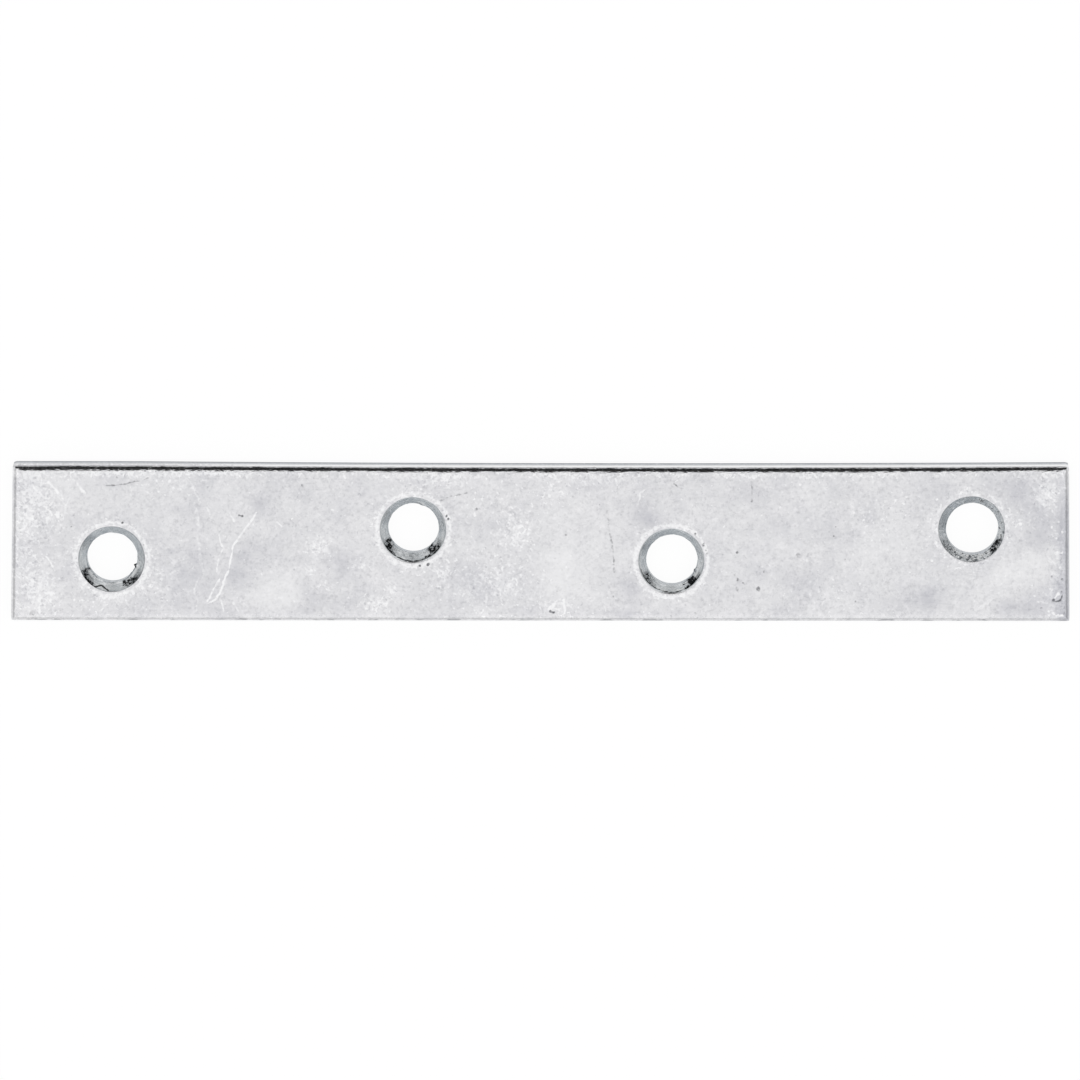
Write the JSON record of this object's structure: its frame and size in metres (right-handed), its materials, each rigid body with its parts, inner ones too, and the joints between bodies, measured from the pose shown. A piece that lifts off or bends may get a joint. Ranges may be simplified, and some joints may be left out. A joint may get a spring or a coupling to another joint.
{
  "type": "mending plate",
  "caption": "Flat zinc-plated steel mending plate with rolled front edges and staggered countersunk screw holes, for tying two timbers across a butt joint.",
  "frame": {"origin": "centre of the flat back face, midway between the ends and between the long edges", "axes": "+X along the plate's length, +Y across its width, +Z out of the countersunk front face"},
  "size_m": [0.1, 0.015, 0.002],
  "materials": {
    "zinc_plated_steel": "bright zinc plate, lightly scratched"
  },
  "bodies": {
    "root": {"mending_plate": "zinc_plated_steel"}
  },
  "joints": []
}
